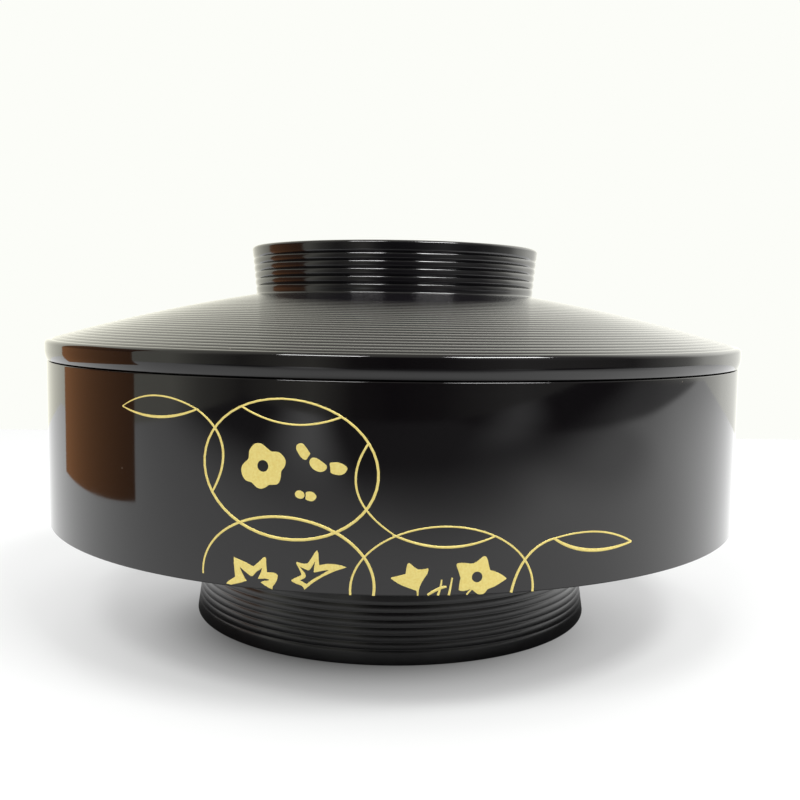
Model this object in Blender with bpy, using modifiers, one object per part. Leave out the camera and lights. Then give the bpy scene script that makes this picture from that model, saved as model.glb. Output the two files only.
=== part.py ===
"""Lidded lacquer sweets bowl: a straight drum on a ribbed foot, under a ribbed lid that lifts off.

Metres, +Z up. The origin is on the table, on the axis that every piece is turned about. The core is
built up from turned hoops and boards, each seated in its neighbour by a rebate or a ring-shaped tenon.
"""

import math

import bpy

# Fits between pieces
GLUE_LINE = 0.0003  # pieces that are glued together
LID_SEAT = 0.0003  # the lid's rim above the wall that it rests on
LID_PLAY = 0.0010  # the lid's rim round the lip, so that it lifts off freely
LIP_HEADROOM = 0.0006  # the lip below the lid's board

# Turned surfaces
STEPS = 40  # facets round each piece
CLOSED = 0.00001  # points nearer than this on the axis, or where a turn ends, are one
RIB_PITCH = 0.0020
RIB_DEPTH = 0.00045

# Foot
FOOT_HEIGHT = 0.0200
FOOT_RADIUS = 0.0624  # on the table
FOOT_TOP_RADIUS = 0.0595
FOOT_TENON_WIDTH = 0.0024
FOOT_TENON = 0.0030
FOOT_SHOULDER = 0.0013  # each side of the tenon
FOOT_BAND = 0.0031  # plain band under the ribs
FOOT_NECK = 0.0034  # plain neck over the ribs
FOOT_ROUND = 0.0008

# Bowl
WALL_HEIGHT = 0.0472
WALL_TOP_ROUND = 0.0006
WALL_FOOT_ROUND = 0.0010
UNDERSIDE_RISE = 0.0117  # the underside's climb from the foot to the wall
FLOOR_WEB = 0.0039  # floor left over the foot's tenon
FLOOR_EDGE = 0.0060
FLOOR_TENON = 0.0026  # the floor's edge past the inside of the wall
DISH_FLAT_RADIUS = 0.0400
LIP_THICKNESS = 0.0021
LIP_DEPTH = 0.0132  # down inside the wall
LIP_RISE = 0.0030  # up into the lid
LIP_ROUND = 0.0005

# Lid
LID_RADIUS = 0.1060
LID_OVERHANG = 0.0006  # past the bowl's wall
RIM_WALL = 0.0025  # beside the board's edge
RIM_LEDGE = 0.0015  # under the board's edge
RIM_BULGE = 0.0005
RIM_ROUND = 0.0009
BOARD_EDGE = 0.0028
BOARD_WEB = 0.0028  # board left under the knob's tenon
DOME_SLOPE = math.radians(16.7)  # at the rim
DOME_RADIUS = 0.460  # of the arc that the dome is turned to

# Knob
KNOB_HEIGHT = 0.0145
KNOB_RADIUS = 0.0439  # at the lid
KNOB_TOP_RADIUS = 0.0453
KNOB_TENON_WIDTH = 0.0016
KNOB_TENON = 0.0022
KNOB_SHOULDER = 0.00115  # each side of the tenon
KNOB_BAND = 0.0025  # plain band over the ribs
KNOB_NECK = 0.0015  # under the ribs, with the cove
KNOB_COVE = 0.0008
KNOB_ROUND = 0.0009

# Heights from the table
FLOOR_SEAT = FOOT_HEIGHT + GLUE_LINE
WALL_FOOT = FLOOR_SEAT + UNDERSIDE_RISE
WALL_TOP = WALL_FOOT + WALL_HEIGHT
LIP_FOOT = WALL_TOP - LIP_DEPTH + GLUE_LINE
LID_FOOT = WALL_TOP + LID_SEAT

# Heights from the lid's lower edge
BOARD_SEAT = LIP_RISE - LID_SEAT + LIP_HEADROOM
RIM_SHELF = BOARD_SEAT - GLUE_LINE

# Radii, from the lid's rim inwards
WALL_RADIUS = LID_RADIUS - LID_OVERHANG
RIM_REBATE = LID_RADIUS - RIM_WALL
BOARD_RADIUS = RIM_REBATE - GLUE_LINE
RIM_BORE = RIM_REBATE - RIM_LEDGE
LIP_RADIUS = RIM_BORE - LID_PLAY
LIP_REBATE = LIP_RADIUS + GLUE_LINE
BOWL_BORE = LIP_RADIUS - LIP_THICKNESS
FLOOR_RADIUS = BOWL_BORE + FLOOR_TENON
FLOOR_REBATE = FLOOR_RADIUS + GLUE_LINE

# Rings: the wall of each, and where its tenon starts
FOOT_WALL = FOOT_TENON_WIDTH + 2 * FOOT_SHOULDER
FOOT_BORE = FOOT_TOP_RADIUS - FOOT_WALL
FOOT_TENON_BORE = FOOT_BORE + FOOT_SHOULDER
KNOB_WALL = KNOB_TENON_WIDTH + 2 * KNOB_SHOULDER
KNOB_BORE = KNOB_RADIUS - KNOB_WALL
KNOB_TENON_BORE = KNOB_BORE + KNOB_SHOULDER
KNOB_SEAT_RADIUS = KNOB_RADIUS + KNOB_COVE + GLUE_LINE

# Thicknesses
FLOOR_THICKNESS = FOOT_TENON + GLUE_LINE + FLOOR_WEB
BOARD_THICKNESS = KNOB_TENON + GLUE_LINE + BOARD_WEB


def arc(centre, radius, start, end, pieces=3):
    """Points (r, z) along an arc, from one angle in degrees to another."""
    points = []
    for piece in range(pieces + 1):
        angle = math.radians(start + (end - start) * piece / pieces)
        points.append((centre[0] + radius * math.cos(angle), centre[1] + radius * math.sin(angle)))
    return points


def ribbed(surface, start, end, inward):
    """Points along a surface, flush at both ends, with a groove turned into it at every rib pitch."""
    grooves = max(1, round(abs(end - start) / RIB_PITCH))
    points = []
    for half in range(2 * grooves + 1):
        r, z = surface(start + (end - start) * half / (2 * grooves))
        sunk = RIB_DEPTH * (half % 2)
        points.append((r + sunk * inward[0], z + sunk * inward[1]))
    return points


def dome(r):
    """Height of the dome above the board's edge, on an arc that falls away steepest at the rim."""
    centre = BOARD_RADIUS - DOME_RADIUS * math.sin(DOME_SLOPE)
    return math.sqrt(DOME_RADIUS**2 - (r - centre) ** 2) - DOME_RADIUS * math.cos(DOME_SLOPE)


def tenon_groove(bore, width, shoulder, depth):
    """Groove for a ring's tenon, from its outer side to its inner, cut from height 0 to a depth."""
    inner = bore - GLUE_LINE
    outer = bore + width + GLUE_LINE
    return [(outer, shoulder), (outer, shoulder + depth), (inner, shoulder + depth), (inner, shoulder)]


def foot_ring():
    """Ring that flares to the table, ribbed outside, with a tenon on top for the floor."""

    def side(z):
        return (FOOT_RADIUS + (FOOT_TOP_RADIUS - FOOT_RADIUS) * z / FOOT_HEIGHT, z)

    rounding = min(FOOT_ROUND, FOOT_WALL / 3)
    tenon_radius = FOOT_TENON_BORE + FOOT_TENON_WIDTH
    tenon_top = FOOT_HEIGHT + FOOT_TENON
    profile = [(FOOT_TENON_BORE, tenon_top), (tenon_radius, tenon_top), (tenon_radius, FOOT_HEIGHT)]
    profile += [side(FOOT_HEIGHT)]
    profile += ribbed(side, FOOT_HEIGHT - FOOT_NECK, FOOT_BAND, (-1, 0))
    profile += arc((side(rounding)[0] - rounding, rounding), rounding, 0, -90)
    profile += [(FOOT_RADIUS - FOOT_WALL, 0), (FOOT_BORE, FOOT_HEIGHT), (FOOT_TENON_BORE, FOOT_HEIGHT)]
    return profile


def bowl_floor():
    """Board that is dished inside, with a sloping underside and a groove for the foot's tenon."""
    edge_top = UNDERSIDE_RISE + FLOOR_EDGE
    dish_pieces = 6
    profile = [(0, FLOOR_THICKNESS)]
    for piece in range(dish_pieces + 1):
        share = piece / dish_pieces
        r = DISH_FLAT_RADIUS + (BOWL_BORE - DISH_FLAT_RADIUS) * share
        profile.append((r, FLOOR_THICKNESS + (edge_top - FLOOR_THICKNESS) * share**2))
    profile += [(FLOOR_RADIUS, edge_top), (FLOOR_RADIUS, UNDERSIDE_RISE)]
    profile += [(FOOT_TOP_RADIUS + GLUE_LINE, 0)]
    profile += tenon_groove(FOOT_TENON_BORE, FOOT_TENON_WIDTH, 0, FOOT_TENON + GLUE_LINE)
    profile += [(0, 0)]
    return profile


def bowl_wall():
    """Straight hoop, rebated inside for the floor below and for the lip above."""
    top_round = min(WALL_TOP_ROUND, (WALL_RADIUS - LIP_REBATE) / 3)
    foot_round = min(WALL_FOOT_ROUND, (WALL_RADIUS - FLOOR_REBATE) / 3)
    floor_shelf = FLOOR_EDGE + GLUE_LINE
    lip_shelf = WALL_HEIGHT - LIP_DEPTH
    profile = [(LIP_REBATE, WALL_HEIGHT)]
    profile += arc((WALL_RADIUS - top_round, WALL_HEIGHT - top_round), top_round, 90, 0, pieces=2)
    profile += arc((WALL_RADIUS - foot_round, foot_round), foot_round, 0, -90)
    profile += [(FLOOR_REBATE, 0), (FLOOR_REBATE, floor_shelf), (BOWL_BORE, floor_shelf)]
    profile += [(BOWL_BORE, lip_shelf), (LIP_REBATE, lip_shelf)]
    return profile


def lip_ring():
    """Thin ring in the top of the wall that stands up into the lid and keeps it in place."""
    rounding = min(LIP_ROUND, LIP_THICKNESS / 3)
    top = LIP_DEPTH - GLUE_LINE + LIP_RISE
    profile = arc((BOWL_BORE + rounding, top - rounding), rounding, 180, 90, pieces=2)
    profile += arc((LIP_RADIUS - rounding, top - rounding), rounding, 90, 0, pieces=2)
    profile += [(LIP_RADIUS, 0), (BOWL_BORE, 0)]
    return profile


def lid_rim():
    """Smooth hoop with a bulging face, and a ledge inside that the board's edge sits on."""
    height = BOARD_SEAT + BOARD_EDGE - RIB_DEPTH
    rounding = min(RIM_ROUND, RIM_WALL / 3)
    chord = height - 2 * rounding
    face_radius = chord**2 / (8 * RIM_BULGE) + RIM_BULGE / 2
    spread = math.degrees(math.asin(chord / (2 * face_radius)))
    corner = LID_RADIUS - RIM_BULGE - rounding
    profile = [(RIM_REBATE, height)]
    profile += arc((corner, height - rounding), rounding, 90, 0)[:-1]
    profile += arc((LID_RADIUS - face_radius, height / 2), face_radius, spread, -spread, pieces=4)
    profile += arc((corner, rounding), rounding, 0, -90)[1:]
    profile += [(RIM_BORE, 0), (RIM_BORE, RIM_SHELF), (RIM_REBATE, RIM_SHELF)]
    return profile


def lid_board():
    """Domed board, ribbed from the rim to the knob, hollow below and grooved for the knob's tenon."""
    land = BOARD_EDGE + dome(KNOB_SEAT_RADIUS)
    hollow_pieces = 7

    def top(r):
        return (r, BOARD_EDGE + dome(r))

    profile = [(0, land)]
    profile += reversed(tenon_groove(KNOB_TENON_BORE, KNOB_TENON_WIDTH, land, -KNOB_TENON - GLUE_LINE))
    profile += ribbed(top, KNOB_SEAT_RADIUS, BOARD_RADIUS, (0, -1))
    for piece in range(hollow_pieces + 1):
        r = BOARD_RADIUS + (KNOB_SEAT_RADIUS - BOARD_RADIUS) * piece / hollow_pieces
        profile.append((r, max(0.0, top(r)[1] - BOARD_THICKNESS)))
    profile += [(0, land - BOARD_THICKNESS)]
    return profile


def knob_ring():
    """Ring that flares upwards, ribbed outside, with a cove at its foot and a tenon for the board."""

    def side(z):
        return (KNOB_RADIUS + (KNOB_TOP_RADIUS - KNOB_RADIUS) * z / KNOB_HEIGHT, z)

    rounding = min(KNOB_ROUND, KNOB_WALL / 3)
    cove = min(KNOB_COVE, KNOB_NECK)
    top_bore = KNOB_TOP_RADIUS - KNOB_WALL
    tenon_radius = KNOB_TENON_BORE + KNOB_TENON_WIDTH
    shoulder = side(KNOB_HEIGHT - rounding)[0] - rounding
    profile = arc((top_bore + rounding, KNOB_HEIGHT - rounding), rounding, 180, 90, pieces=2)
    profile += arc((shoulder, KNOB_HEIGHT - rounding), rounding, 90, 0)
    profile += ribbed(side, KNOB_HEIGHT - KNOB_BAND, KNOB_NECK, (-1, 0))
    profile += arc((side(cove)[0] + cove, cove), cove, 180, 270, pieces=2)
    profile += [(tenon_radius, 0), (tenon_radius, -KNOB_TENON), (KNOB_TENON_BORE, -KNOB_TENON)]
    profile += [(KNOB_TENON_BORE, 0), (KNOB_BORE, 0)]
    return profile


def lacquer(name, colour, roughness):
    """Opaque lacquer with a polished coat."""
    material = bpy.data.materials.new(name)
    material.use_nodes = True
    shader = material.node_tree.nodes["Principled BSDF"]
    shader.inputs["Base Color"].default_value = (*colour, 1.0)
    shader.inputs["Roughness"].default_value = roughness
    shader.inputs["Metallic"].default_value = 0.0
    return material


def turned(name, profile, height, parent, collection, material):
    """A piece turned about Z: a profile that starts and ends on the axis, or else one that is closed."""
    mesh = bpy.data.meshes.new(name)
    points = [(r, 0.0, z) for r, z in profile]
    edges = [(index, index + 1) for index in range(len(points) - 1)]
    if profile[0][0] > 0:
        edges.append((len(points) - 1, 0))
    mesh.from_pydata(points, edges, [])
    mesh.materials.append(material)
    piece = bpy.data.objects.new(name, mesh)
    collection.objects.link(piece)
    piece.parent = parent
    piece.location.z = height
    screw = piece.modifiers.new("Turned", "SCREW")
    screw.axis = "Z"
    screw.steps = STEPS
    screw.render_steps = STEPS
    screw.use_merge_vertices = True
    screw.merge_threshold = CLOSED
    screw.use_smooth_shade = True
    piece.modifiers.new("Flat faces stay flat", "WEIGHTED_NORMAL")
    return piece


def group(name, height, collection):
    """Empty on the turning axis that carries the pieces of one body."""
    empty = bpy.data.objects.new(name, None)
    empty.location.z = height
    collection.objects.link(empty)
    return empty


def build():
    for old in list(bpy.data.objects):
        bpy.data.objects.remove(old, do_unlink=True)
    sweets_bowl = bpy.data.collections.new("lacquer_sweets_bowl")
    bpy.context.scene.collection.children.link(sweets_bowl)

    polished = lacquer("polished_black_lacquer", (0.010, 0.008, 0.007), 0.10)
    ribbed_coat = lacquer("ribbed_black_lacquer", (0.014, 0.011, 0.010), 0.22)
    inside = lacquer("inside_black_lacquer", (0.012, 0.009, 0.008), 0.15)

    bowl = group("bowl", 0.0, sweets_bowl)
    turned("foot_ring", foot_ring(), 0.0, bowl, sweets_bowl, ribbed_coat)
    turned("bowl_floor", bowl_floor(), FLOOR_SEAT, bowl, sweets_bowl, inside)
    turned("bowl_wall", bowl_wall(), WALL_FOOT, bowl, sweets_bowl, polished)
    turned("lip_ring", lip_ring(), LIP_FOOT, bowl, sweets_bowl, inside)

    knob_seat = BOARD_SEAT + BOARD_EDGE + dome(KNOB_SEAT_RADIUS) + GLUE_LINE
    lid = group("lid", LID_FOOT, sweets_bowl)
    turned("lid_rim", lid_rim(), 0.0, lid, sweets_bowl, polished)
    turned("lid_board", lid_board(), BOARD_SEAT, lid, sweets_bowl, ribbed_coat)
    turned("knob_ring", knob_ring(), knob_seat, lid, sweets_bowl, ribbed_coat)


build()
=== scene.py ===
"""Looks of the lidded lacquer sweets bowl: turned black lacquer with a gold ornament on the drum's front.

Metres, +Z up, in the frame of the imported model. Every turned piece is drawn as half its section and
spun about Z. The gold is drawn flat, as wide as the drum's front unrolled, and then bent round the drum.
"""

import math

import bpy
from mathutils import Matrix, Vector


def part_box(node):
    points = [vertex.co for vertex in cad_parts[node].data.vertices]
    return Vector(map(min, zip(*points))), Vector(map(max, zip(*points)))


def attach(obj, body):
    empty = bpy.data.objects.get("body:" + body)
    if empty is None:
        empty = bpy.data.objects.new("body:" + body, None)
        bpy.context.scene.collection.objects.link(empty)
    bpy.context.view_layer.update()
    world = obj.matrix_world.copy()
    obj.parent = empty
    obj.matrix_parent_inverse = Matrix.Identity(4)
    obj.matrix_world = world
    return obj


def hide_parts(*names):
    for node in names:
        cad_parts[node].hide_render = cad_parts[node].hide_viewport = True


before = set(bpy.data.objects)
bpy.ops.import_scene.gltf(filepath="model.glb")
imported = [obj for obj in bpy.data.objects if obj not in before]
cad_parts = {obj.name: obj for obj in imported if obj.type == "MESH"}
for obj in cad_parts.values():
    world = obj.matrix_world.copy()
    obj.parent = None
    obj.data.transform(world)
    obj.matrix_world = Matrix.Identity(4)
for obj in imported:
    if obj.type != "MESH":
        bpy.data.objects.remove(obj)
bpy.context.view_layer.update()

MM = 0.001

# Turned surfaces
TURN_STEPS = 240  # round each piece
ROUND_POINTS = 6  # along each rounded edge
TUCK_POINTS = 12  # along the part of the rim's face that rounds in
DISH_POINTS = 40  # along the dished floor
HOLLOW_POINTS = 36  # along the lid's hollow
RIB_PITCH = 2.0 * MM
LID_RIB_DEPTH = 0.20 * MM
KNOB_RIB_DEPTH = 0.30 * MM
FOOT_RIB_DEPTH = 0.065 * MM
RIB_POINTS = 10  # from crest to crest
RIB_FULLNESS = 0.75  # below 1 the crest is broad and the groove narrow
SEAM_LAP = 0.05 * MM  # pieces of one body lap by this, as the lacquer closes their seams
MERGE = 0.002 * MM
CREASE = math.radians(32)  # edges sharper than this stay sharp
LONG_FACE = 5.0  # times the length of the face beside it
GUARD = 0.05 * MM  # length of the short flat at each end of a long face

# Foot, bowl and lid: what the frame's boxes don't give
FOOT_FLARE = 2.9 * MM
FOOT_WALL = 5.0 * MM
FOOT_BAND = 3.1 * MM
FOOT_NECK = 3.4 * MM
FOOT_ROUND = 0.4 * MM
FLOOR_THICKNESS = 7.2 * MM
DISH_FLAT_RADIUS = 40.0 * MM
DISH_COVE = 3.0 * MM
DISH_COVE_START = -70  # degrees, where the cove leaves the dish
WALL_TOP_ROUND = 0.35 * MM
WALL_FOOT_ROUND = 0.3 * MM
LID_GAP = 0.30 * MM  # that shows between the lid and the wall
LIP_THICKNESS = 2.1 * MM
LIP_ROUND = 0.6 * MM
RIM_LEDGE = 1.5 * MM
RIM_TOP_ROUND = 1.3 * MM
RIM_FACE = 1.7 * MM  # upright part of the face, above the part that rounds in towards the foot
RIM_TUCK_RADIUS = 6.0 * MM
RIM_FOOT_ROUND = 0.30 * MM
BOARD_EDGE = 2.8 * MM
BOARD_THICKNESS = 5.3 * MM
DOME_RADIUS = 460.0 * MM
DOME_SLOPE = math.radians(16.7)
KNOB_FLARE = 1.4 * MM
KNOB_WALL = 3.9 * MM
KNOB_BAND = 2.5 * MM
KNOB_NECK = 1.5 * MM
KNOB_COVE = 0.8 * MM
KNOB_ROUND = 0.9 * MM

# Gold, in millimetres on the unrolled drum: s to the right from the front, z up from the table
STROKE_POINTS = 48
CURVE_STEPS = 4  # between two points of a rounded outline
STROKE_FLATNESS = 0.3  # of a stroke's half width, how high it stands
MOTIF_RELIEF = 0.10
MOTIF_ROUND = 0.05
BEND_STEP = 1.0  # longest flat stretch of a motif before it is bent


def box_of(node):
    """Outer radius, lowest and highest height of a turned node."""
    low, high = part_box(node)
    return high.x, low.z, high.z


foot_radius, _, _ = box_of("foot_ring")
floor_radius, floor_low, floor_high = box_of("bowl_floor")
wall_radius, wall_low, seam = box_of("bowl_wall")  # the lid's seam is at the wall's top
lip_radius, lip_low, lip_high = box_of("lip_ring")
rim_radius, _, _ = box_of("lid_rim")
board_radius, board_low, _ = box_of("lid_board")
knob_radius, _, knob_high = box_of("knob_ring")
bore = lip_radius - LIP_THICKNESS  # inside the bowl


# Sections of the turned pieces


def arc(centre, radius, start, end, points=ROUND_POINTS):
    """Points (r, z) along an arc, from one angle in degrees to another."""
    turns = [math.radians(start + (end - start) * step / points) for step in range(points + 1)]
    return [(centre[0] + radius * math.cos(turn), centre[1] + radius * math.sin(turn)) for turn in turns]


def ribbed(surface, start, end, inward, depth):
    """Points along a surface with a rounded rib at every pitch, flush with the surface at both ends."""
    ribs = round(abs(end - start) / RIB_PITCH)
    points = []
    for step in range(ribs * RIB_POINTS + 1):
        rib = step / RIB_POINTS
        sunk = depth * (1 - abs(math.cos(math.pi * rib)) ** RIB_FULLNESS)
        r, z = surface(start + (end - start) * rib / ribs)
        points.append((r + sunk * inward[0], z + sunk * inward[1]))
    return points


def foot_section():
    """Flared ring, ribbed between a plain band and a plain neck."""
    top = floor_low + SEAM_LAP

    def side(z):
        return (foot_radius - FOOT_FLARE * z / floor_low, z)

    section = [side(top)]
    section += ribbed(side, floor_low - FOOT_NECK, FOOT_BAND, (-1, 0), FOOT_RIB_DEPTH)
    section += arc((side(FOOT_ROUND)[0] - FOOT_ROUND, FOOT_ROUND), FOOT_ROUND, 0, -90)
    inner = foot_radius - FOOT_WALL
    section += arc((inner + FOOT_ROUND, FOOT_ROUND), FOOT_ROUND, 270, 180)
    section += [(inner - FOOT_FLARE, top)]
    return section + section[:1]


def floor_section():
    """Board that is dished inside and slopes underneath from the foot to the wall."""
    dish_top = floor_low + FLOOR_THICKNESS
    edge = bore + SEAM_LAP

    def dish(r):
        share = max(0.0, r - DISH_FLAT_RADIUS) / (bore - DISH_FLAT_RADIUS)
        return (r, dish_top + (floor_high - dish_top) * share**2)

    dish_end = bore - DISH_COVE
    section = [(0, dish_top)]
    section += [dish(dish_end * step / DISH_POINTS) for step in range(1, DISH_POINTS + 1)]
    section += arc((dish_end, dish(dish_end)[1] + DISH_COVE), DISH_COVE, DISH_COVE_START, 0)
    section += [(edge, section[-1][1]), (edge, floor_high)]
    section += [(floor_radius, floor_high), (floor_radius, wall_low)]
    section += [(foot_radius - FOOT_FLARE, floor_low), (0, floor_low)]
    return section


def wall_section():
    """Straight hoop, rebated for the floor and for the lip."""
    top = seam - LID_GAP / 2
    section = arc((wall_radius - WALL_TOP_ROUND, top - WALL_TOP_ROUND), WALL_TOP_ROUND, 90, 0)
    section += arc((wall_radius - WALL_FOOT_ROUND, wall_low + WALL_FOOT_ROUND), WALL_FOOT_ROUND, 0, -90)
    section += [(floor_radius - SEAM_LAP, wall_low), (floor_radius - SEAM_LAP, floor_high)]
    section += [(bore, floor_high), (bore, lip_low), (lip_radius - SEAM_LAP, lip_low)]
    section += [(lip_radius - SEAM_LAP, top)]
    return section + section[:1]


def lip_section():
    """Thin ring that stands up into the lid."""
    section = arc((bore + LIP_ROUND, lip_high - LIP_ROUND), LIP_ROUND, 180, 90)
    section += arc((lip_radius - LIP_ROUND, lip_high - LIP_ROUND), LIP_ROUND, 90, 0)
    section += [(lip_radius, lip_low - SEAM_LAP), (bore, lip_low - SEAM_LAP)]
    return section + section[:1]


def dome(r):
    """Height of the lid's top above the board's underside at its edge."""
    centre = board_radius - DOME_RADIUS * math.sin(DOME_SLOPE)
    rise = math.sqrt(DOME_RADIUS**2 - (r - centre) ** 2) - DOME_RADIUS * math.cos(DOME_SLOPE)
    return board_low + BOARD_EDGE + rise


def lid_top(r):
    """Point (r, z) on the lid's top."""
    return (r, dome(r))


def rim_section():
    """Hoop with one rib on top, an upright face, and a part that rounds in to the seam."""
    foot = seam + LID_GAP / 2
    shoulder = rim_radius - RIM_TOP_ROUND
    edge = shoulder + RIM_TOP_ROUND * math.sin(DOME_SLOPE)
    face_top = dome(edge) - RIM_TOP_ROUND * math.cos(DOME_SLOPE)
    tuck_top = face_top - RIM_FACE
    lean = math.asin((tuck_top - foot - RIM_FOOT_ROUND) / (RIM_TUCK_RADIUS - RIM_FOOT_ROUND))
    foot_centre = rim_radius - RIM_TUCK_RADIUS + (RIM_TUCK_RADIUS - RIM_FOOT_ROUND) * math.cos(lean)
    rebate = board_radius - SEAM_LAP
    tuck_centre = (rim_radius - RIM_TUCK_RADIUS, tuck_top)
    section = ribbed(lid_top, rebate, edge, (0, -1), LID_RIB_DEPTH)
    section += arc((shoulder, face_top), RIM_TOP_ROUND, 90 - math.degrees(DOME_SLOPE), 0)[1:]
    section += arc(tuck_centre, RIM_TUCK_RADIUS, 0, -math.degrees(lean), points=TUCK_POINTS)
    section += arc((foot_centre, foot + RIM_FOOT_ROUND), RIM_FOOT_ROUND, -math.degrees(lean), -90)[1:]
    section += [(rebate - RIM_LEDGE, foot), (rebate - RIM_LEDGE, board_low), (rebate, board_low)]
    return section + section[:1]


knob_seat_radius = knob_radius - KNOB_FLARE + KNOB_COVE
knob_seat = dome(knob_seat_radius)


def board_section():
    """Domed board, ribbed from the knob to the rim and hollow below."""
    section = [(0, knob_seat)]
    section += ribbed(lid_top, knob_seat_radius, board_radius, (0, -1), LID_RIB_DEPTH)
    for step in range(HOLLOW_POINTS + 1):
        r = board_radius + (knob_seat_radius - board_radius) * step / HOLLOW_POINTS
        section.append((r, max(board_low, dome(r) - BOARD_THICKNESS)))
    section += [(0, section[-1][1])]
    return section


def knob_section():
    """Ring that flares upwards, ribbed between a plain band and a cove."""
    foot = knob_seat - SEAM_LAP

    def side(z):
        return (knob_radius - KNOB_FLARE * (knob_high - z) / (knob_high - knob_seat), z)

    bore_top = knob_radius - KNOB_WALL
    shoulder = knob_high - KNOB_ROUND
    section = arc((bore_top + KNOB_ROUND, shoulder), KNOB_ROUND, 180, 90)
    section += arc((side(shoulder)[0] - KNOB_ROUND, shoulder), KNOB_ROUND, 90, 0)
    section += ribbed(side, knob_high - KNOB_BAND, knob_seat + KNOB_NECK, (-1, 0), KNOB_RIB_DEPTH)
    section += arc((side(knob_seat)[0] + KNOB_COVE, foot + KNOB_COVE), KNOB_COVE, 180, 270)
    section += [(bore_top - KNOB_FLARE, foot)]
    return section + section[:1]


def guarded(section):
    """Adds a short flat at both ends of each long face beside a short one, which keeps its shading straight."""
    lengths = [math.dist(*ends) for ends in zip(section, section[1:])]
    points = section[:1]
    for number, length in enumerate(lengths):
        if length > LONG_FACE * min(lengths[max(number - 1, 0):number + 2]):
            start, end = Vector(section[number]), Vector(section[number + 1])
            points += [tuple(start.lerp(end, share)) for share in (GUARD / length, 1 - GUARD / length)]
        points.append(section[number + 1])
    return points


def turned(name, section):
    """A piece turned about Z: its section is drawn point by point and spun."""
    bpy.ops.object.select_all(action="DESELECT")
    bpy.ops.mesh.primitive_plane_add(size=MM)
    piece = bpy.context.object
    piece.name = name
    piece.data.name = name
    bpy.ops.object.mode_set(mode="EDIT")
    bpy.ops.mesh.merge(type="CENTER")
    here = Vector((0, 0, 0))
    for number, (r, z) in enumerate(guarded(section)):
        step = Vector((r, 0, z)) - here
        if number == 0:
            bpy.ops.transform.translate(value=step)
        else:
            bpy.ops.mesh.extrude_vertices_move(TRANSFORM_OT_translate={"value": step})
        here += step
    bpy.ops.mesh.select_all(action="SELECT")
    bpy.ops.mesh.spin(steps=TURN_STEPS, angle=math.tau, center=(0, 0, 0), axis=(0, 0, 1))
    bpy.ops.mesh.select_all(action="SELECT")
    bpy.ops.mesh.remove_doubles(threshold=MERGE)
    bpy.ops.mesh.normals_make_consistent(inside=False)
    bpy.ops.object.mode_set(mode="OBJECT")
    bpy.ops.object.shade_smooth_by_angle(angle=CREASE)
    return piece


# Gold ornament


def oval(centre, half_width, half_height, tilt=0.0, start=0.0, end=360.0):
    """Points along an oval turned by its tilt, between two angles in degrees, counted from its right."""
    points = []
    for step in range(STROKE_POINTS + 1):
        turn = math.radians(start + (end - start) * step / STROKE_POINTS)
        point = Vector((half_width * math.cos(turn), half_height * math.sin(turn)))
        point.rotate(Matrix.Rotation(math.radians(tilt), 2))
        points.append(point + Vector(centre))
    return points


def sweep(first, middle, last):
    """Points along the arc of a parabola through three points, the middle one half way along."""
    points = []
    for step in range(STROKE_POINTS + 1):
        share = step / STROKE_POINTS
        points.append(
            Vector(first) * (2 * share - 1) * (share - 1)
            + Vector(middle) * 4 * share * (1 - share)
            + Vector(last) * share * (2 * share - 1)
        )
    return points


# Each stroke: its points, and its width at the start, half way and at the end
STROKES = [
    (oval((-23.2, 59.3), 20.3, 15.5, tilt=-5, start=90, end=450), (0.40, 0.66, 0.40)),
    (oval((-23.8, 34.4), 20.2, 14.3, tilt=-3, start=185, end=-5), (0.42, 0.62, 0.62)),
    (oval((11.7, 33.1), 20.6, 14.4, start=184, end=-4), (0.52, 0.40, 0.55)),
    (sweep((-33.9, 72.8), (-22.4, 69.3), (-10.9, 71.3)), (0.42, 0.40, 0.46)),
    (sweep((-69.0, 70.9), (-57.5, 74.1), (-45.5, 71.6)), (0.25, 0.38, 0.35)),
    (sweep((-69.0, 70.9), (-57.0, 69.2), (-45.5, 71.6)), (0.28, 0.62, 0.40)),
    (sweep((-45.5, 71.6), (-38.8, 63.8), (-41.4, 53.3)), (0.40, 0.60, 0.50)),
    (sweep((-5.2, 65.6), (-7.5, 55.0), (0.4, 45.8)), (0.48, 0.47, 0.36)),
    (sweep((0.3, 45.7), (11.8, 42.9), (23.1, 45.1)), (0.45, 0.56, 0.40)),
    (sweep((27.1, 32.2), (30.8, 40.1), (37.4, 43.8)), (0.64, 0.58, 0.46)),
    (sweep((37.4, 43.8), (49.2, 44.4), (59.6, 41.0)), (0.36, 0.42, 0.48)),
    (sweep((37.4, 43.8), (47.0, 40.3), (59.6, 41.0)), (0.55, 0.82, 0.45)),
    (sweep((8.1, 32.3), (10.4, 33.6), (12.3, 34.1)), (0.50, 0.65, 0.40)),
    (sweep((10.4, 32.2), (10.9, 34.0), (11.2, 35.7)), (0.55, 0.45, 0.30)),
    (sweep((12.8, 32.2), (13.2, 34.2), (13.5, 36.1)), (0.55, 0.45, 0.35)),
    (sweep((17.9, 33.4), (17.3, 32.8), (16.8, 32.2)), (0.40, 0.40, 0.40)),
]


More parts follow.
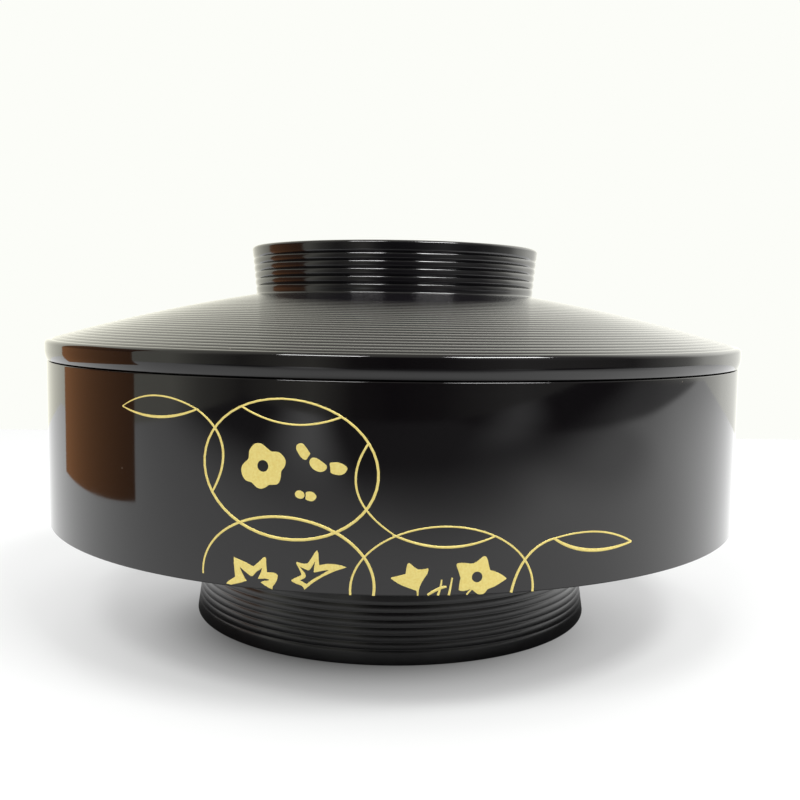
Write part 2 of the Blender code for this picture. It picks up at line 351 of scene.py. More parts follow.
def gold_rings():
    """The ornament's lines: flattened tubes along each stroke."""
    bpy.ops.object.select_all(action="DESELECT")
    bpy.ops.curve.primitive_nurbs_path_add()
    lines = bpy.context.object
    curve = lines.data
    curve.splines.clear()
    for points, widths in STROKES:
        spline = curve.splines.new("POLY")
        spline.points.add(len(points) - 1)
        for number, point in enumerate(points):
            share = number / (len(points) - 1)
            width = widths[0] * (1 - share) ** 2 + widths[2] * share**2
            width += (4 * widths[1] - widths[0] - widths[2]) * share * (1 - share)
            spline.points[number].co = (point.x * MM, point.y * MM, 0, 1)
            spline.points[number].radius = width / 2
    curve.dimensions = "3D"
    curve.bevel_depth = MM
    curve.bevel_resolution = 2
    curve.use_fill_caps = True
    lines.scale.z = STROKE_FLATNESS
    bpy.ops.object.convert(target="MESH")
    bpy.ops.object.transform_apply(location=False, rotation=False, scale=True)
    return bent("gold_rings")


def bent(name):
    """Stands the flat active object up, bends it round the drum's front and gives it its name."""
    piece = bpy.context.object
    piece.name = name
    piece.data.name = name
    bpy.ops.object.mode_set(mode="EDIT")
    bpy.ops.mesh.select_all(action="SELECT")
    bpy.ops.mesh.remove_doubles(threshold=MERGE)
    left = min(vertex.co.x for vertex in piece.data.vertices)
    right = max(vertex.co.x for vertex in piece.data.vertices)
    for cut in range(math.ceil(left / (BEND_STEP * MM)), math.ceil(right / (BEND_STEP * MM))):
        bpy.ops.mesh.select_all(action="SELECT")
        bpy.ops.mesh.bisect(plane_co=(cut * BEND_STEP * MM, 0, 0), plane_no=(1, 0, 0))
    bpy.ops.mesh.select_all(action="SELECT")
    bpy.ops.mesh.normals_make_consistent(inside=False)
    bpy.ops.object.mode_set(mode="OBJECT")
    piece.rotation_euler.x = math.radians(90)
    bpy.ops.object.transform_apply(location=False, rotation=True, scale=False)
    bend = piece.modifiers.new("Round the drum", "SIMPLE_DEFORM")
    bend.deform_method = "BEND"
    bend.deform_axis = "Z"
    bend.angle = (right - left) / wall_radius
    bpy.ops.object.modifier_apply(modifier=bend.name)
    piece.location.y = -wall_radius
    bpy.ops.object.transform_apply(location=True, rotation=False, scale=False)
    bpy.ops.object.shade_smooth_by_angle(angle=CREASE)
    return piece


def rounded(outline):
    """A closed outline as a smooth curve through its points."""
    points = []
    for number in range(len(outline)):
        a, b, c, d = [Vector(outline[(number + place) % len(outline)]) for place in (-1, 0, 1, 2)]
        for step in range(CURVE_STEPS):
            t = step / CURVE_STEPS
            bow = (2 * a - 5 * b + 4 * c - d) * t**2 + (3 * b - a - 3 * c + d) * t**3
            points.append(b + ((c - a) * t + bow) / 2)
    return points


def motif(name, outlines):
    """Flat gold figure with rounded edges; an outline inside another is a hole."""
    bpy.ops.object.select_all(action="DESELECT")
    bpy.ops.curve.primitive_bezier_circle_add()
    curve = bpy.context.object.data
    curve.splines.clear()
    for outline in outlines:
        spline = curve.splines.new("POLY")
        spline.points.add(len(outline) - 1)
        for point, (s, z) in zip(spline.points, outline):
            point.co = (s * MM, z * MM, 0, 1)
        spline.use_cyclic_u = True
    curve.dimensions = "2D"
    curve.fill_mode = "BOTH"
    curve.extrude = (MOTIF_RELIEF - MOTIF_ROUND) * MM
    curve.bevel_depth = MOTIF_ROUND * MM
    curve.bevel_resolution = 1
    curve.offset = -MOTIF_ROUND * MM
    bpy.ops.object.convert(target="MESH")
    return bent(name)


PLUM = [
    (-32.2, 61.6), (-32.0, 63.2), (-31.0, 64.5), (-30.0, 64.85), (-29.0, 64.7), (-28.0, 64.0),
    (-27.2, 63.4), (-26.6, 63.15), (-25.2, 63.1), (-24.3, 62.5), (-23.6, 61.6), (-23.5, 60.8),
    (-23.8, 59.8), (-24.45, 58.9), (-24.6, 57.6), (-24.9, 56.6), (-25.4, 56.0), (-26.2, 55.8),
    (-27.3, 55.7), (-28.2, 55.1), (-29.2, 54.75), (-30.2, 54.95), (-31.0, 55.6), (-31.6, 56.05),
    (-32.9, 56.4), (-33.7, 57.4), (-34.0, 58.6), (-33.8, 59.6), (-33.2, 60.4), (-32.5, 61.0),
]
PETAL_HIGH = [
    (-20.2, 65.25), (-19.5, 65.1), (-18.8, 64.3), (-18.2, 63.5), (-17.95, 63.0), (-18.4, 62.3),
    (-18.8, 61.7), (-19.4, 61.75), (-20.1, 62.3), (-20.7, 63.2), (-21.1, 64.1), (-20.9, 64.9),
]
PETAL_MIDDLE = [
    (-17.3, 62.2), (-16.4, 62.05), (-15.3, 61.4), (-14.4, 60.7), (-14.2, 60.1), (-14.6, 59.5),
    (-15.4, 59.15), (-16.2, 59.2), (-17.1, 59.6), (-17.8, 60.3), (-18.1, 61.1), (-17.9, 61.85),
]
PETAL_RIGHT = [
    (-13.6, 61.1), (-13.0, 61.3), (-11.8, 61.35), (-10.7, 61.0), (-9.85, 60.4), (-9.75, 59.8),
    (-10.3, 59.0), (-11.2, 58.6), (-12.3, 58.65), (-13.3, 59.0), (-13.45, 59.6), (-13.5, 60.3),
]
PETAL_LOW = [
    (-18.85, 54.5), (-18.3, 54.7), (-17.4, 54.65), (-16.7, 54.1), (-16.5, 53.5), (-16.9, 52.9),
    (-17.5, 52.6), (-18.3, 52.7), (-18.9, 53.0), (-18.9, 53.8),
]
MAPLE_LOW = [
    (-37.8, 32.5), (-37.6, 32.9), (-36.7, 33.6), (-35.55, 34.35), (-35.75, 36.0), (-35.9, 37.6),
    (-35.9, 38.8), (-34.6, 38.4), (-33.0, 37.9), (-31.6, 37.3), (-31.0, 37.15), (-30.3, 37.8),
    (-29.3, 38.7), (-28.7, 39.35), (-28.3, 39.5), (-28.0, 39.2), (-27.95, 37.6), (-27.8, 36.1),
    (-26.2, 36.1), (-25.6, 35.9), (-25.25, 35.5), (-25.3, 34.9), (-25.5, 34.3), (-25.9, 33.6),
    (-26.4, 33.0), (-26.5, 32.3), (-27.4, 32.6), (-28.4, 33.1), (-29.3, 33.65), (-28.6, 34.05),
    (-27.4, 34.25), (-27.3, 34.5), (-28.2, 34.6), (-29.0, 34.5), (-30.0, 34.4), (-29.6, 35.2),
    (-29.2, 36.0), (-28.95, 37.0), (-29.5, 36.5), (-30.2, 36.05), (-30.7, 35.5), (-31.2, 34.9),
    (-31.7, 34.85), (-32.4, 35.3), (-33.3, 35.9), (-34.4, 36.7), (-34.1, 35.9), (-33.6, 35.0),
    (-33.2, 34.3), (-32.7, 33.7), (-33.6, 33.35), (-34.5, 33.0), (-35.4, 32.75), (-36.6, 32.4),
]
MAPLE_HIGH = [
    (-9.7, 38.25), (-10.9, 38.65), (-12.5, 38.85), (-14.0, 38.85), (-15.2, 38.6), (-15.75, 38.45),
    (-15.9, 39.6), (-15.95, 41.0), (-16.25, 41.75), (-16.7, 41.4), (-17.4, 40.2), (-18.0, 39.2),
    (-18.5, 38.7), (-19.3, 38.6), (-20.2, 38.75), (-20.9, 38.95), (-21.0, 38.6), (-20.5, 37.7),
    (-20.0, 36.8), (-19.8, 36.2), (-20.0, 35.9), (-20.8, 35.5), (-21.6, 35.1), (-22.1, 34.75),
    (-21.9, 34.4), (-21.0, 34.0), (-19.9, 33.7), (-19.3, 33.3), (-19.1, 32.75), (-18.7, 33.1),
    (-18.0, 33.7), (-17.2, 34.4), (-16.2, 35.1), (-15.0, 35.9), (-13.5, 36.7), (-12.0, 37.4), (-10.6, 37.9),
]
MAPLE_HIGH_HEART = [
    (-16.7, 39.3), (-16.9, 38.0), (-17.0, 37.0), (-16.9, 36.75), (-15.8, 37.05), (-14.6, 37.35),
    (-13.6, 37.5), (-14.8, 36.7), (-15.9, 36.0), (-16.9, 35.4), (-17.9, 34.7), (-18.6, 34.05),
    (-19.4, 34.5), (-20.1, 34.8), (-19.6, 35.1), (-19.0, 35.4), (-18.75, 35.85), (-19.0, 36.5),
    (-19.6, 37.2), (-20.2, 37.9), (-19.2, 37.5), (-18.3, 37.15), (-17.9, 37.3), (-17.3, 38.2),
]
BUD = [
    (0.0, 36.0), (0.1, 36.25), (1.2, 36.5), (2.3, 36.8), (3.2, 37.05), (3.35, 38.2), (3.55, 39.2),
    (3.95, 39.55), (4.5, 39.1), (5.2, 38.5), (5.9, 38.05), (6.6, 38.05), (7.4, 38.15), (8.15, 38.3),
    (8.2, 37.9), (8.0, 37.1), (7.4, 36.2), (6.8, 35.2), (6.4, 34.3), (6.15, 33.4), (6.1, 32.2),
    (5.75, 32.2), (5.75, 32.8), (5.6, 33.3), (4.8, 33.6), (3.8, 33.95), (2.6, 34.4), (1.6, 34.9),
    (0.7, 35.5),
]
BELLFLOWER = [
    (14.4, 39.0), (14.6, 39.3), (15.5, 39.4), (16.6, 39.3), (17.7, 39.15), (18.3, 39.2), (19.0, 39.6),
    (19.8, 40.2), (20.4, 40.65), (20.8, 40.75), (21.2, 40.5), (21.5, 39.7), (21.75, 38.6), (22.05, 37.55),
    (22.9, 37.3), (23.9, 36.9), (24.9, 36.3), (25.8, 35.65), (25.9, 35.35), (25.3, 35.0), (24.3, 34.4),
    (23.2, 33.8), (22.0, 33.4), (21.5, 33.2), (21.2, 32.8), (20.9, 32.4), (20.5, 32.2), (19.7, 32.15),
    (19.2, 32.3), (18.7, 32.7), (18.1, 33.2), (17.7, 33.5), (17.0, 33.2), (16.2, 33.05), (15.4, 33.1),
    (15.0, 33.3), (15.05, 34.2), (15.2, 35.2), (15.35, 36.0), (15.1, 36.8), (14.8, 37.7), (14.5, 38.5),
]
PLUM_HEART = ((-28.8, 59.85), 1.3, 1.3)
BELLFLOWER_HEART = ((19.1, 36.1), 1.2, 1.2)
PETAL_ROUND = ((-20.25, 53.95), 1.1, 0.9, -15)


# Materials

LACQUER_IOR = 1.55
GOLD_IOR = 1.5  # the shader's default
GOLD_METALLIC = 0.5  # lacquer shows between the grains
STAGE_IOR = 1.45
POLISH_WAVE = 22 * MM
BRUSH_WAVE = 14 * MM
WAVE_HEIGHT = 0.02 * MM
DUST_SPACING = 7 * MM
DUST_SIZE = 0.03  # of the spacing
DUST_FREE = 0.7  # share of the places for dust that have none
POLISH_RUB = 9 * MM  # patches that were rubbed more or less
RIB_RUB = 6 * MM
GOLD_GRAIN = 0.5 * MM  # the powder is far finer and wouldn't show, so it is drawn coarser
GOLD_GRAIN_HEIGHT = 0.01 * MM


def linear(code, alpha=1.0):
    """An sRGB hex colour as linear values."""
    channels = [int(code[place:place + 2], 16) / 255 for place in (1, 3, 5)]
    return (*[c / 12.92 if c <= 0.04045 else ((c + 0.055) / 1.055) ** 2.4 for c in channels], alpha)


def add(tree, kind, settings, inputs):
    """Adds a node with its settings; each input takes a value or another node's output."""
    node = tree.nodes.new(kind)
    for name, value in settings.items():
        setattr(node, name, value)
    for name, value in inputs.items():
        if isinstance(value, bpy.types.NodeSocket):
            tree.links.new(value, node.inputs[name])
        else:
            node.inputs[name].default_value = value
    return node


def coat(name, ior, metallic=0.0):
    """A new material, its node tree and its shader."""
    material = bpy.data.materials.new(name)
    material.use_nodes = True
    shader = material.node_tree.nodes["Principled BSDF"]
    shader.inputs["IOR"].default_value = ior
    shader.inputs["Metallic"].default_value = metallic
    return material, material.node_tree, shader


def polished_black_lacquer():
    """Brushed lacquer rubbed down to a mirror: deep black, with a slow waviness and a few specks of dust."""
    material, tree, shader = coat("polished_black_lacquer", ior=LACQUER_IOR)
    place = add(tree, "ShaderNodeTexCoord", {}, {}).outputs["Object"]
    waves = add(tree, "ShaderNodeTexNoise", {}, {"Vector": place, "Scale": 1 / POLISH_WAVE, "Detail": 1.0})
    bump = add(tree, "ShaderNodeBump", {},
               {"Strength": 1.0, "Distance": WAVE_HEIGHT, "Height": waves.outputs["Fac"]})
    cells = add(tree, "ShaderNodeTexVoronoi", {}, {"Vector": place, "Scale": 1 / DUST_SPACING})
    speck = add(tree, "ShaderNodeMath", {"operation": "LESS_THAN"},
                {0: cells.outputs["Distance"], 1: DUST_SIZE})
    tone = add(tree, "ShaderNodeSeparateColor", {}, {"Color": cells.outputs["Color"]})
    some = add(tree, "ShaderNodeMath", {"operation": "GREATER_THAN"}, {0: tone.outputs["Red"], 1: DUST_FREE})
    dust = add(tree, "ShaderNodeMath", {"operation": "MULTIPLY"}, {0: speck.outputs[0], 1: some.outputs[0]})
    colour = add(tree, "ShaderNodeMix", {"data_type": "RGBA"},
                 {"Factor": dust.outputs[0], "A": linear("#0a080a"), "B": linear("#6a635a")})
    rub = add(tree, "ShaderNodeTexNoise", {}, {"Vector": place, "Scale": 1 / POLISH_RUB, "Detail": 3.0})
    gloss = add(tree, "ShaderNodeMapRange", {},
                {"Value": rub.outputs["Fac"], "To Min": 0.03, "To Max": 0.07})
    tree.links.new(colour.outputs["Result"], shader.inputs["Base Color"])
    tree.links.new(gloss.outputs["Result"], shader.inputs["Roughness"])
    tree.links.new(bump.outputs["Normal"], shader.inputs["Normal"])
    return material


def ribbed_black_lacquer(name, smoothest, roughest):
    """Lacquer brushed over turned ribs and rubbed down unevenly, its colour a little lighter on the crests than
    in the grooves.
    """
    material, tree, shader = coat(name, ior=LACQUER_IOR)
    place = add(tree, "ShaderNodeTexCoord", {}, {}).outputs["Object"]
    edge = add(tree, "ShaderNodeNewGeometry", {}, {}).outputs["Pointiness"]
    crest = add(tree, "ShaderNodeMapRange", {}, {"Value": edge, "From Min": 0.45, "From Max": 0.6})
    colour = add(tree, "ShaderNodeMix", {"data_type": "RGBA"},
                 {"Factor": crest.outputs["Result"], "A": linear("#0a0a0d"), "B": linear("#131013")})
    rub = add(tree, "ShaderNodeTexNoise", {}, {"Vector": place, "Scale": 1 / RIB_RUB, "Detail": 4.0})
    gloss = add(tree, "ShaderNodeMapRange", {},
                {"Value": rub.outputs["Fac"], "To Min": smoothest, "To Max": roughest})
    tree.links.new(colour.outputs["Result"], shader.inputs["Base Color"])
    tree.links.new(gloss.outputs["Result"], shader.inputs["Roughness"])
    return material


def inside_black_lacquer():
    """Lacquer left as it was brushed inside: black with a soft gloss and a faint waviness."""
    material, tree, shader = coat("inside_black_lacquer", ior=LACQUER_IOR)
    place = add(tree, "ShaderNodeTexCoord", {}, {}).outputs["Object"]
    waves = add(tree, "ShaderNodeTexNoise", {}, {"Vector": place, "Scale": 1 / BRUSH_WAVE, "Detail": 2.0})
    bump = add(tree, "ShaderNodeBump", {},
               {"Strength": 1.0, "Distance": WAVE_HEIGHT, "Height": waves.outputs["Fac"]})
    colour = add(tree, "ShaderNodeMix", {"data_type": "RGBA"},
                 {"Factor": waves.outputs["Fac"], "A": linear("#0c0a09"), "B": linear("#120f0d")})
    gloss = add(tree, "ShaderNodeMapRange", {},
                {"Value": waves.outputs["Fac"], "To Min": 0.08, "To Max": 0.18})
    tree.links.new(colour.outputs["Result"], shader.inputs["Base Color"])
    tree.links.new(gloss.outputs["Result"], shader.inputs["Roughness"])
    tree.links.new(bump.outputs["Normal"], shader.inputs["Normal"])
    return material


def sprinkled_gold():
    """Gold powder sprinkled on wet lacquer and burnished: pale satin gold with a fine grain."""
    material, tree, shader = coat("sprinkled_gold", ior=GOLD_IOR, metallic=GOLD_METALLIC)
    place = add(tree, "ShaderNodeTexCoord", {}, {}).outputs["Object"]
    grain = add(tree, "ShaderNodeTexNoise", {}, {"Vector": place, "Scale": 1 / GOLD_GRAIN, "Detail": 2.0})
    colour = add(tree, "ShaderNodeMix", {"data_type": "RGBA"},
                 {"Factor": grain.outputs["Fac"], "A": linear("#ecd06a"), "B": linear("#fff2a2")})
    gloss = add(tree, "ShaderNodeMapRange", {},
                {"Value": grain.outputs["Fac"], "To Min": 0.40, "To Max": 0.55})
    bump = add(tree, "ShaderNodeBump", {},
               {"Strength": 1.0, "Distance": GOLD_GRAIN_HEIGHT, "Height": grain.outputs["Fac"]})
    tree.links.new(colour.outputs["Result"], shader.inputs["Base Color"])
    tree.links.new(gloss.outputs["Result"], shader.inputs["Roughness"])
    tree.links.new(bump.outputs["Normal"], shader.inputs["Normal"])
    return material


# Pieces


def finished(piece, body, material, node=None):
    """Gives a piece its finish, the body that it rides on and the node that it stands for."""
    piece.data.materials.clear()
    piece.data.materials.append(material)
    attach(piece, body)
    if node:
        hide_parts(node)


polished = polished_black_lacquer()
lid_ribs = ribbed_black_lacquer("ribbed_black_lacquer", smoothest=0.07, roughest=0.15)
foot_ribs = ribbed_black_lacquer("rubbed_dull_ribbed_black_lacquer", smoothest=0.15, roughest=0.24)
inside = inside_black_lacquer()
gold = sprinkled_gold()

finished(turned("ribbed_foot", foot_section()), "bowl", foot_ribs, "foot_ring")
finished(turned("dished_floor", floor_section()), "bowl", inside, "bowl_floor")
finished(turned("polished_drum", wall_section()), "bowl", polished, "bowl_wall")
finished(turned("inner_lip", lip_section()), "bowl", inside, "lip_ring")
finished(turned("bulging_rim", rim_section()), "lid", polished, "lid_rim")
finished(turned("ribbed_dome", board_section()), "lid", lid_ribs, "lid_board")
finished(turned("ribbed_knob", knob_section()), "lid", lid_ribs, "knob_ring")

finished(gold_rings(), "bowl", gold)
# A closed outline doesn't repeat the first point of an oval at its end
plum = [rounded(PLUM), oval(*PLUM_HEART)[1:]]
petals = [rounded(petal) for petal in (PETAL_HIGH, PETAL_MIDDLE, PETAL_RIGHT, PETAL_LOW)]
petals += [oval(*PETAL_ROUND)[1:]]
finished(motif("gold_plum", plum), "bowl", gold)
finished(motif("gold_petals", petals), "bowl", gold)
finished(motif("gold_maples", [MAPLE_LOW, MAPLE_HIGH, MAPLE_HIGH_HEART]), "bowl", gold)
bellflower = [BUD, BELLFLOWER, oval(*BELLFLOWER_HEART)[1:]]
finished(motif("gold_bellflowers", bellflower), "bowl", gold)


# Stage, light and camera

TABLE = ((-0.65, -0.72), (1.25, 0.43))  # its near left and far right corners
TABLE_GLOW = 0.56  # what the eye sees on top of the lit table, so that it looks white and keeps its shadow
SOFT_LIGHT = 0.62  # from all round

# Painted light and shade on the table, with soft edges: from where to where, and the levels there
FRONT_SHADE = (-0.50, -0.22, 0.07, 0.72)  # along Y
BACK_LIGHT = (-0.25, 0.05, 0.0, 0.28)  # along Y
CORNER_SHADE = (0.88, 0.98, 1.0, 0.33)  # towards the near right corner
TABLE_MIRRORED = (0.0, 0.25, 0.88, 1.30)  # along X: the glow that the lacquer mirrors, with painted light brighter on the right than on the left
MIRRORED_FAR_RIGHT = (0.35, 1.10, 1.0, 0.78)  # along X
PAINTED_FOOT_SHADOW = ((0.026, 0.060, 0.0, 0.7), (0.046, 0.082, 0.0, 0.3))  # painted shadow round the foot, for the eye: soft edges of the glow away from the foot
MIRRORED_FOOT_SHADOW = (0.075, 0.15, 0.0, 1.0)  # painted shadow round the foot, as the lacquer mirrors it: soft edge of the mirrored glow away from the foot
PAINTED_FOOT_SHADOW_PLACE = ((-0.006, -0.025), 0.83)  # middle of the painted shadow round the foot, and its stretch along X
MIRRORED_FOOT_SHADOW_PLACE = (0.0, -0.06)
# Each patch of painted shade in what the lacquer mirrors: its middle and stretch along X, and its soft edge
PAINTED_SHADE_PATCHES = [
    ((0.12, -0.38), 0.8, (0.02, 0.15, 0.72, 1.0)),
    ((0.48, -0.30), 1.0, (0.10, 0.25, 0.74, 1.0)),
]
# Each painted light streak in what the lacquer mirrors: the direction across it, its sides and middle that way,
# and its soft end along Y
PAINTED_LIGHT_STREAKS = [
    ((-0.906, 0.423), (-0.14, -0.03, 0.13), (-0.53, -0.31, 0.66, 0.0)),
    ((0.777, 0.629), (-0.22, -0.05, 0.12), (-0.62, -0.40, 0.24, 0.0)),
]

CARD_SIZE = (0.26, 0.236)  # high and wide
CARD_PLACE = (-0.325, 0.011, 0.13)
CARD_TURN = math.radians(8)  # about Z


def floor():
    """White table top, up to the wall behind.

    What the lacquer mirrors of it has painted shade towards the front and in the near right corner, with
    patches of painted shade, painted light streaks and painted light brighter on the right. A painted shadow
    round the foot fades its glow.
    """
    bpy.ops.object.select_all(action="DESELECT")
    (left, near), (right, far) = TABLE
    bpy.ops.mesh.primitive_plane_add(size=1.0)
    sheet = bpy.context.object
    sheet.name = "floor"
    sheet.scale = (right - left, far - near, 1.0)
    sheet.location = ((left + right) / 2, (near + far) / 2, 0.0)
    bpy.ops.object.transform_apply()
    material, tree, shader = coat("white_table", ior=STAGE_IOR)
    shader.inputs["Specular IOR Level"].default_value = 0.0
    place = add(tree, "ShaderNodeTexCoord", {}, {}).outputs["Object"]
    axes = add(tree, "ShaderNodeSeparateXYZ", {}, {"Vector": place})
    path = add(tree, "ShaderNodeLightPath", {}, {})
    mirrored = path.outputs["Is Glossy Ray"]

    def away(spot, stretch=1.0):
        """Distance from a spot on the table, with distances along X stretched."""
        grown = add(tree, "ShaderNodeVectorMath", {"operation": "MULTIPLY"}, {0: place, 1: (stretch, 1, 1)})
        ends = {0: grown.outputs["Vector"], 1: (spot[0] * stretch, spot[1], 0)}
        return add(tree, "ShaderNodeVectorMath", {"operation": "DISTANCE"}, ends).outputs["Value"]

    def faded(level, along, edge, operation="MULTIPLY"):
        """A level with a soft edge on the table multiplied in, or added."""
        start, end, low, high = edge
        spread = {"Value": along, "From Min": start, "From Max": end, "To Min": low, "To Max": high}
        soft = add(tree, "ShaderNodeMapRange", {"interpolation_type": "SMOOTHSTEP"}, spread)
        both = {0: level, 1: soft.outputs["Result"]}
        return add(tree, "ShaderNodeMath", {"operation": operation}, both).outputs[0]

    shade = faded(0.0, axes.outputs["Y"], FRONT_SHADE, "ADD")
    shade = faded(shade, axes.outputs["Y"], BACK_LIGHT, "ADD")
    for spot, stretch, edge in PAINTED_SHADE_PATCHES:
        shade = faded(shade, away(spot, stretch), edge)
    corner = add(tree, "ShaderNodeVectorMath", {"operation": "DOT_PRODUCT"}, {0: place, 1: (1, -1, 0)})
    shade = faded(shade, corner.outputs["Value"], CORNER_SHADE)
    for direction, (low, middle, high), end in PAINTED_LIGHT_STREAKS:
        across = add(tree, "ShaderNodeVectorMath", {"operation": "DOT_PRODUCT"}, {0: place, 1: (*direction, 0)})
        streak = faded(1.0, across.outputs["Value"], (low, middle, 0.0, 1.0))
        streak = faded(streak, across.outputs["Value"], (middle, high, 1.0, 0.0))
        streak = faded(streak, axes.outputs["Y"], end)
        shade = add(tree, "ShaderNodeMath", {"operation": "ADD"}, {0: shade, 1: streak}).outputs[0]
    # painted shade and light change the table's colour only where the lacquer mirrors it; the eye sees it even
    level = add(tree, "ShaderNodeMix", {"data_type": "FLOAT"}, {"Factor": mirrored, "A": 1.0, "B": shade})
    colour = add(tree, "ShaderNodeMix", {"data_type": "RGBA"},
                 {"Factor": level.outputs["Result"], "A": (0, 0, 0, 1), "B": linear("#9b9c9b")})

    # painted shadow round the foot: the glow that the eye sees fades out towards the foot
    lit = 0.0
    for edge in PAINTED_FOOT_SHADOW:
        lit = faded(lit, away(*PAINTED_FOOT_SHADOW_PLACE), edge, "ADD")
    seen = add(tree, "ShaderNodeMath", {"operation": "MULTIPLY"},
               {0: path.outputs["Is Camera Ray"], 1: TABLE_GLOW})
    # painted light: the mirrored glow is brighter on the right and falls off towards the far right
    mirror = faded(mirrored, axes.outputs["X"], TABLE_MIRRORED)
    mirror = faded(mirror, axes.outputs["X"], MIRRORED_FAR_RIGHT)
    # painted shadow round the foot in the mirrored glow
    mirror = faded(mirror, away(MIRRORED_FOOT_SHADOW_PLACE), MIRRORED_FOOT_SHADOW)
    mirror_glow = add(tree, "ShaderNodeMath", {"operation": "MULTIPLY"}, {0: mirror, 1: shade})
    glow = add(tree, "ShaderNodeMath", {"operation": "MULTIPLY_ADD"},
               {0: seen.outputs[0], 1: lit, 2: mirror_glow.outputs[0]})
    tree.links.new(colour.outputs["Result"], shader.inputs["Base Color"])
    tree.links.new(glow.outputs[0], shader.inputs["Emission Strength"])
    shader.inputs["Emission Color"].default_value = (1, 1, 1, 1)
    sheet.data.materials.append(material)


def brown_card():
    """Glowing card on the left that the drum mirrors, with painted light brighter towards the back and painted
    shade towards its top.
    """
    bpy.ops.object.select_all(action="DESELECT")
    bpy.ops.mesh.primitive_plane_add(size=1.0, rotation=(0, math.radians(90), CARD_TURN))
    card = bpy.context.object
    card.name = "brown_card"
    card.scale = (*CARD_SIZE, 1.0)
    card.location = CARD_PLACE
    bpy.ops.object.transform_apply()
    material, tree, _ = coat("brown_card", ior=STAGE_IOR)
    place = add(tree, "ShaderNodeTexCoord", {}, {}).outputs["Object"]
    axes = add(tree, "ShaderNodeSeparateXYZ", {}, {"Vector": place})
    # painted light and shade in the card's glow: brighter towards the back, dimmer towards its top
    backward = {"Value": axes.outputs["Y"], "From Min": -0.11, "From Max": 0.10, "To Min": 0.65, "To Max": 1.5}
    upward = {"Value": axes.outputs["Z"], "From Min": 0.08, "From Max": 0.125, "To Min": 1.0, "To Max": 0.5}
    levels = [add(tree, "ShaderNodeMapRange", {}, spread).outputs["Result"] for spread in (backward, upward)]
    level = add(tree, "ShaderNodeMath", {"operation": "MULTIPLY"}, {0: levels[0], 1: levels[1]})
    glow = add(tree, "ShaderNodeEmission", {}, {"Color": linear("#b98259"), "Strength": level.outputs[0]})
    tree.links.new(glow.outputs["Emission"], tree.nodes["Material Output"].inputs["Surface"])
    card.data.materials.append(material)
    card.visible_camera = False
    card.visible_diffuse = False
    card.visible_shadow = False


# What the lacquer mirrors round about: degrees to the right of straight behind, and level
PANORAMA = [
    (-180, 0.02), (-168, 0.06), (-156, 0.40), (-134, 0.14), (-120, 0.42), (-110, 0.85), (-93, 0.75),
    (-50, 1.28), (35, 1.40), (52, 1.75), (68, 1.60), (78, 0.75), (90, 0.48), (103, 0.14), (142, 0.26),
    (166, 0.05), (180, 0.02),
]
PANORAMA_TOP = 2.0  # level at the top of the curve that holds them


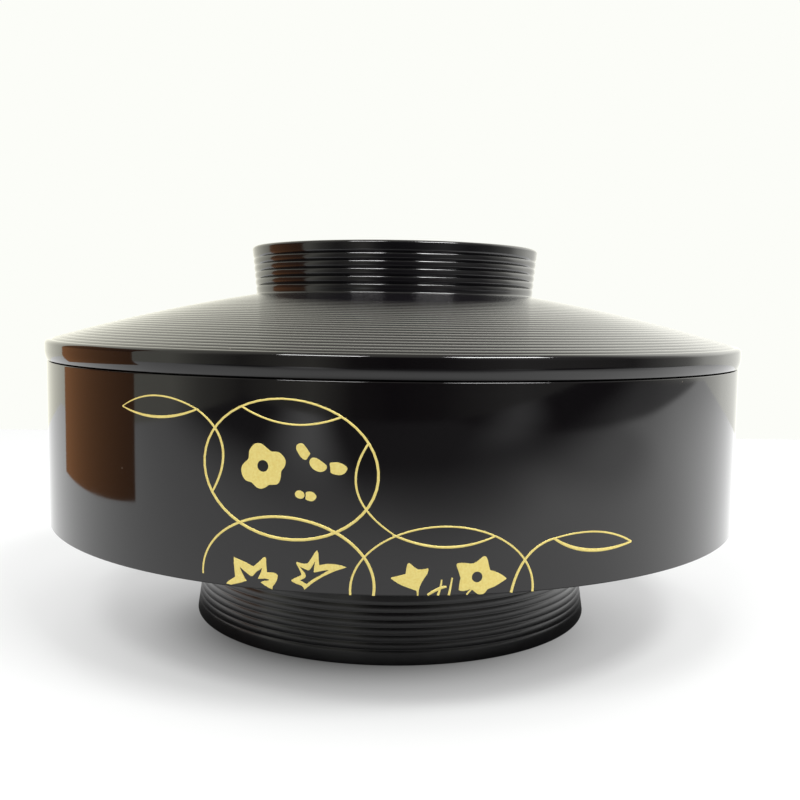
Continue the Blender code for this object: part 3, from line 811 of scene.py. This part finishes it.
def surroundings():
    """White all round for the eye and for soft light.

    The lacquer mirrors a white wall behind and a dark room in front.
    """
    world = bpy.data.worlds.new("white_booth")
    bpy.context.scene.world = world
    world.use_nodes = True
    tree = world.node_tree
    tree.nodes.clear()
    direction = add(tree, "ShaderNodeTexCoord", {}, {}).outputs["Generated"]
    axes = add(tree, "ShaderNodeSeparateXYZ", {}, {"Vector": direction})
    turn = add(tree, "ShaderNodeMath", {"operation": "ARCTAN2"}, {0: axes.outputs["X"], 1: axes.outputs["Y"]})
    share = add(tree, "ShaderNodeMapRange", {},
                {"Value": turn.outputs[0], "From Min": -math.pi, "From Max": math.pi})
    strip = add(tree, "ShaderNodeFloatCurve", {}, {"Value": share.outputs["Result"]})
    curve = strip.mapping.curves[0]
    for number, (degrees, level) in enumerate(PANORAMA):
        place = (degrees / 360 + 0.5, level / PANORAMA_TOP)
        if number < 2:
            point = curve.points[number]
            point.location = place
        else:
            point = curve.points.new(*place)
        point.handle_type = "VECTOR"
    strip.mapping.update()
    right = add(tree, "ShaderNodeMapRange", {},
                {"Value": axes.outputs["X"], "From Min": -0.2, "From Max": 0.6}).outputs["Result"]
    upward = add(tree, "ShaderNodeMapRange", {"interpolation_type": "SMOOTHSTEP"},
                 {"Value": axes.outputs["Z"], "From Min": 0.05, "From Max": 0.30, "To Max": 0.8})
    gain = add(tree, "ShaderNodeMath", {"operation": "MULTIPLY_ADD"},
               {0: upward.outputs["Result"], 1: right, 2: PANORAMA_TOP})
    walls = add(tree, "ShaderNodeMath", {"operation": "MULTIPLY"},
                {0: strip.outputs["Value"], 1: gain.outputs[0]})
    overhead = add(tree, "ShaderNodeMapRange", {"interpolation_type": "SMOOTHSTEP"},
                   {"Value": axes.outputs["Z"], "From Min": 0.6, "From Max": 0.9})
    room = add(tree, "ShaderNodeMix", {"data_type": "FLOAT"},
               {"Factor": overhead.outputs["Result"], "A": walls.outputs[0], "B": 0.6})
    tint = add(tree, "ShaderNodeMix", {"data_type": "RGBA"},
               {"Factor": right, "A": (1, 0.99, 0.86, 1), "B": (1, 1, 0.94, 1)})
    path = add(tree, "ShaderNodeLightPath", {}, {})
    mirrored = add(tree, "ShaderNodeBackground", {},
                   {"Color": tint.outputs["Result"], "Strength": room.outputs["Result"]})
    soft = add(tree, "ShaderNodeBackground", {}, {"Color": (1, 1, 1, 1), "Strength": SOFT_LIGHT})
    seen = add(tree, "ShaderNodeBackground", {}, {"Color": linear("#fcfdf8"), "Strength": 1.0})
    lit = add(tree, "ShaderNodeMixShader", {},
              {0: path.outputs["Is Glossy Ray"], 1: soft.outputs[0], 2: mirrored.outputs[0]})
    whole = add(tree, "ShaderNodeMixShader", {},
                {0: path.outputs["Is Camera Ray"], 1: lit.outputs[0], 2: seen.outputs[0]})
    add(tree, "ShaderNodeOutputWorld", {}, {"Surface": whole.outputs[0]})


LAMP_TARGET = (0, 0, 0.05)


def lamp(name, place, size, power, mirrored=True):
    """Soft lamp that points at the bowl."""
    data = bpy.data.lights.new(name, "AREA")
    data.shape = "RECTANGLE"
    data.size, data.size_y = size
    data.energy = power
    light = bpy.data.objects.new(name, data)
    bpy.context.scene.collection.objects.link(light)
    light.location = place
    light.rotation_euler = (Vector(LAMP_TARGET) - Vector(place)).to_track_quat("-Z", "Y").to_euler()
    light.visible_glossy = mirrored


CAMERA_PLACE = (0.0, -0.3103, 0.09363)
CAMERA_LENS = 43.13
CAMERA_SENSOR = 36.0
CAMERA_YAW, CAMERA_PITCH, CAMERA_ROLL = -0.411, -5.151, 0.797  # degrees from level and straight ahead


def camera():
    """Camera at the photograph's viewing angle."""
    data = bpy.data.cameras.new("camera")
    data.sensor_width = CAMERA_SENSOR
    data.lens = CAMERA_LENS
    data.clip_start = 0.01
    eye = bpy.data.objects.new("camera", data)
    bpy.context.scene.collection.objects.link(eye)
    eye.location = CAMERA_PLACE
    yaw = Matrix.Rotation(math.radians(CAMERA_YAW), 3, "Z")
    pitch = Matrix.Rotation(math.radians(90 + CAMERA_PITCH), 3, "X")
    roll = Matrix.Rotation(math.radians(CAMERA_ROLL), 3, "Z")
    eye.rotation_euler = (yaw @ pitch @ roll).to_euler()
    bpy.context.scene.camera = eye


bpy.context.scene.view_settings.view_transform = "Standard"
floor()
brown_card()
surroundings()
lamp("ceiling_right", (0.61, -0.65, 1.25), size=(0.65, 0.30), power=15.0)
lamp("ceiling_left", (-0.43, -0.79, 1.25), size=(0.55, 0.25), power=8.5)
lamp("overhead", (0.10, 0.10, 1.5), size=(0.6, 0.6), power=6.0, mirrored=False)
camera()
